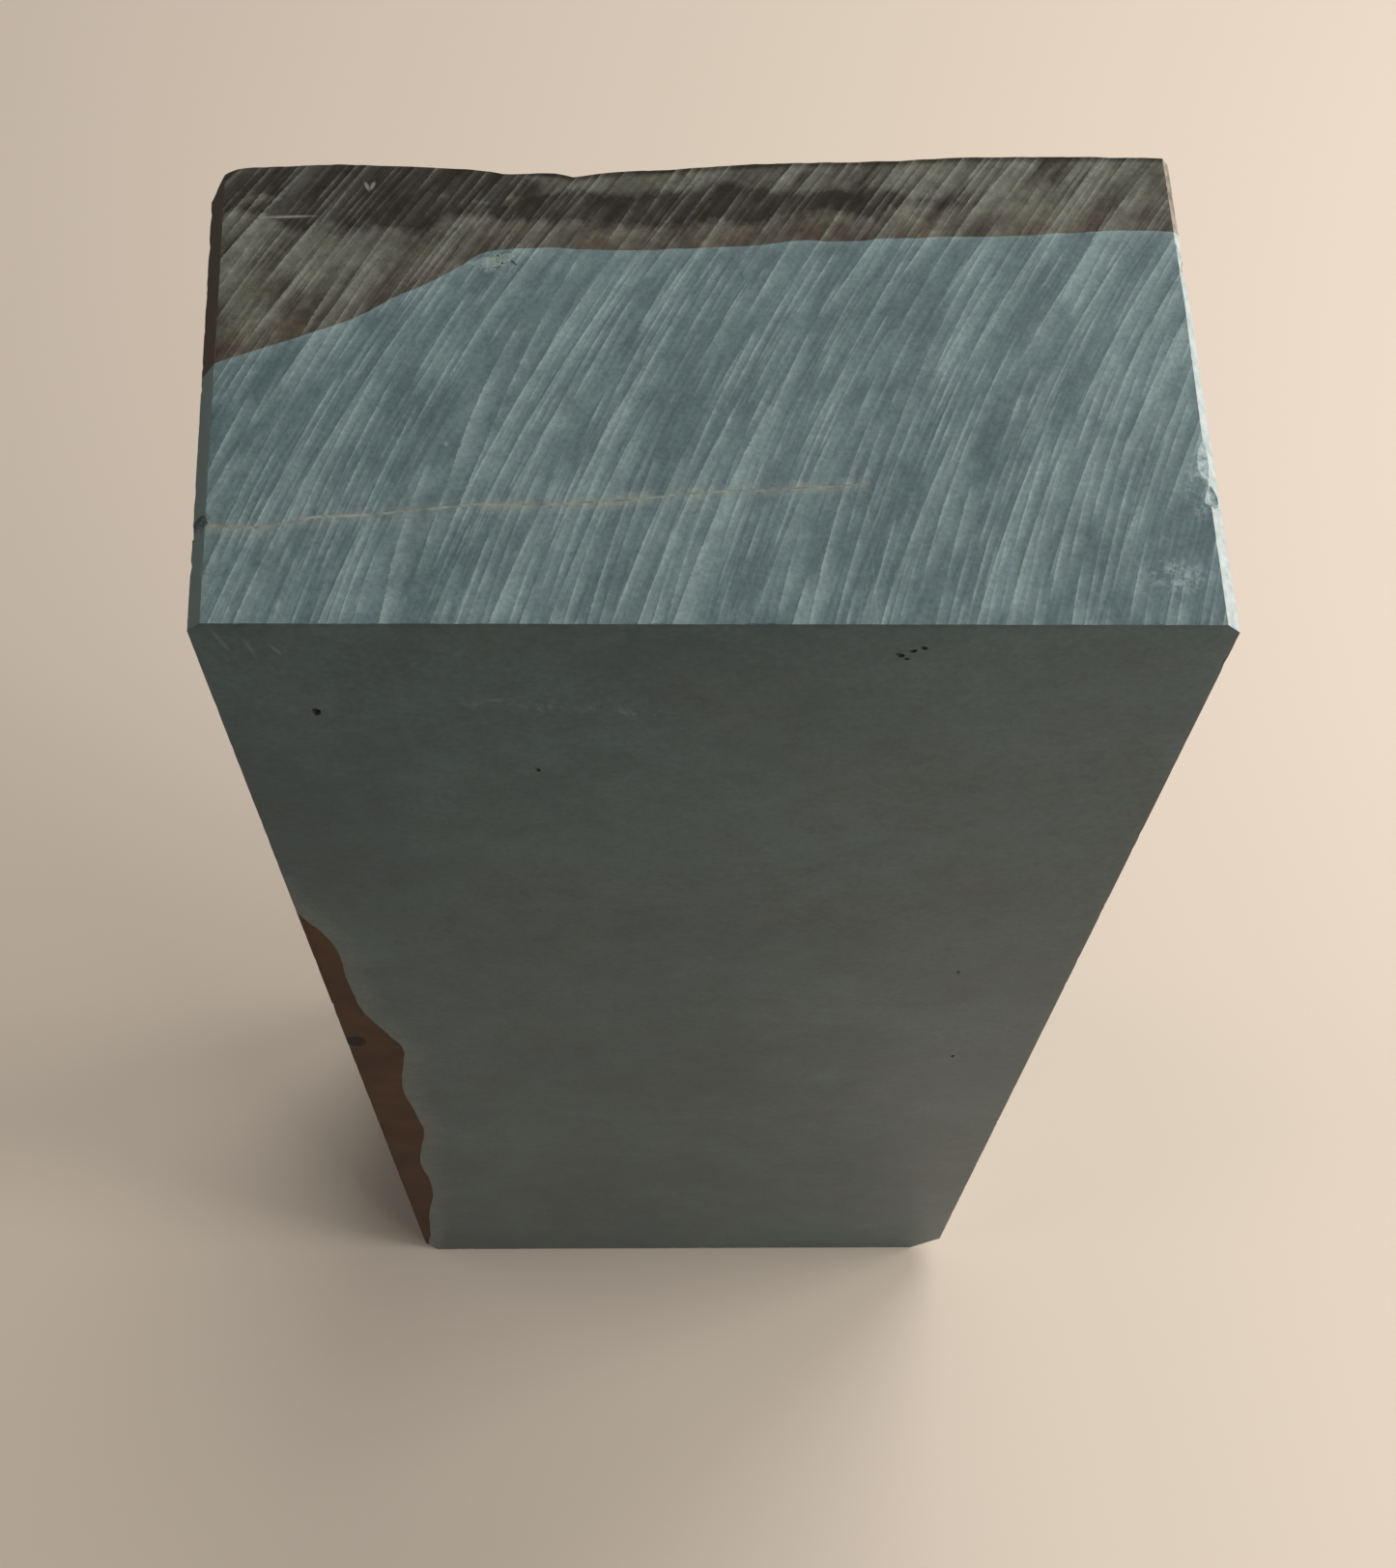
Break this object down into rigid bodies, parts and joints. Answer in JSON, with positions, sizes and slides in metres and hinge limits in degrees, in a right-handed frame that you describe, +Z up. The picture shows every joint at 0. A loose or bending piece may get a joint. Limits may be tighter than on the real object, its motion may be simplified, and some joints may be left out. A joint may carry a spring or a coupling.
{
  "type": "sharpening whetstone",
  "caption": "Natural bench whetstone: a sawn rectangular block of blue-grey slate with a lapped honing face, sawn ends and a weathered brown rind left on its back.",
  "frame": {"origin": "middle of the foot end that the stone stands on", "axes": "+Z up along the stone's length to the head end, -Y out of the lapped honing face, +X across the width"},
  "size_m": [0.0836, 0.0462, 0.206],
  "materials": {
    "blue_slate": "fine-grained, lapped on the honing face, saw-marked elsewhere",
    "rust_stone": "fine-grained, iron-stained",
    "rind_stone": "fine-grained, saw-marked",
    "dark_mineral": "matt, near black",
    "weathered_skin": "rough, split and weathered",
    "tan_mineral": "matt mineral seam",
    "pale_mineral": "matt, chalky",
    "iron_mineral": "matt, near black"
  },
  "bodies": {
    "root": {"blue_stone": "blue_slate", "rust_band": "rust_stone", "brown_rind": "rind_stone", "dark_streak": "dark_mineral", "back_skin": "weathered_skin", "seam_fill": "tan_mineral", "pale_fleck": "pale_mineral", "iron_knot": "iron_mineral"}
  },
  "joints": []
}
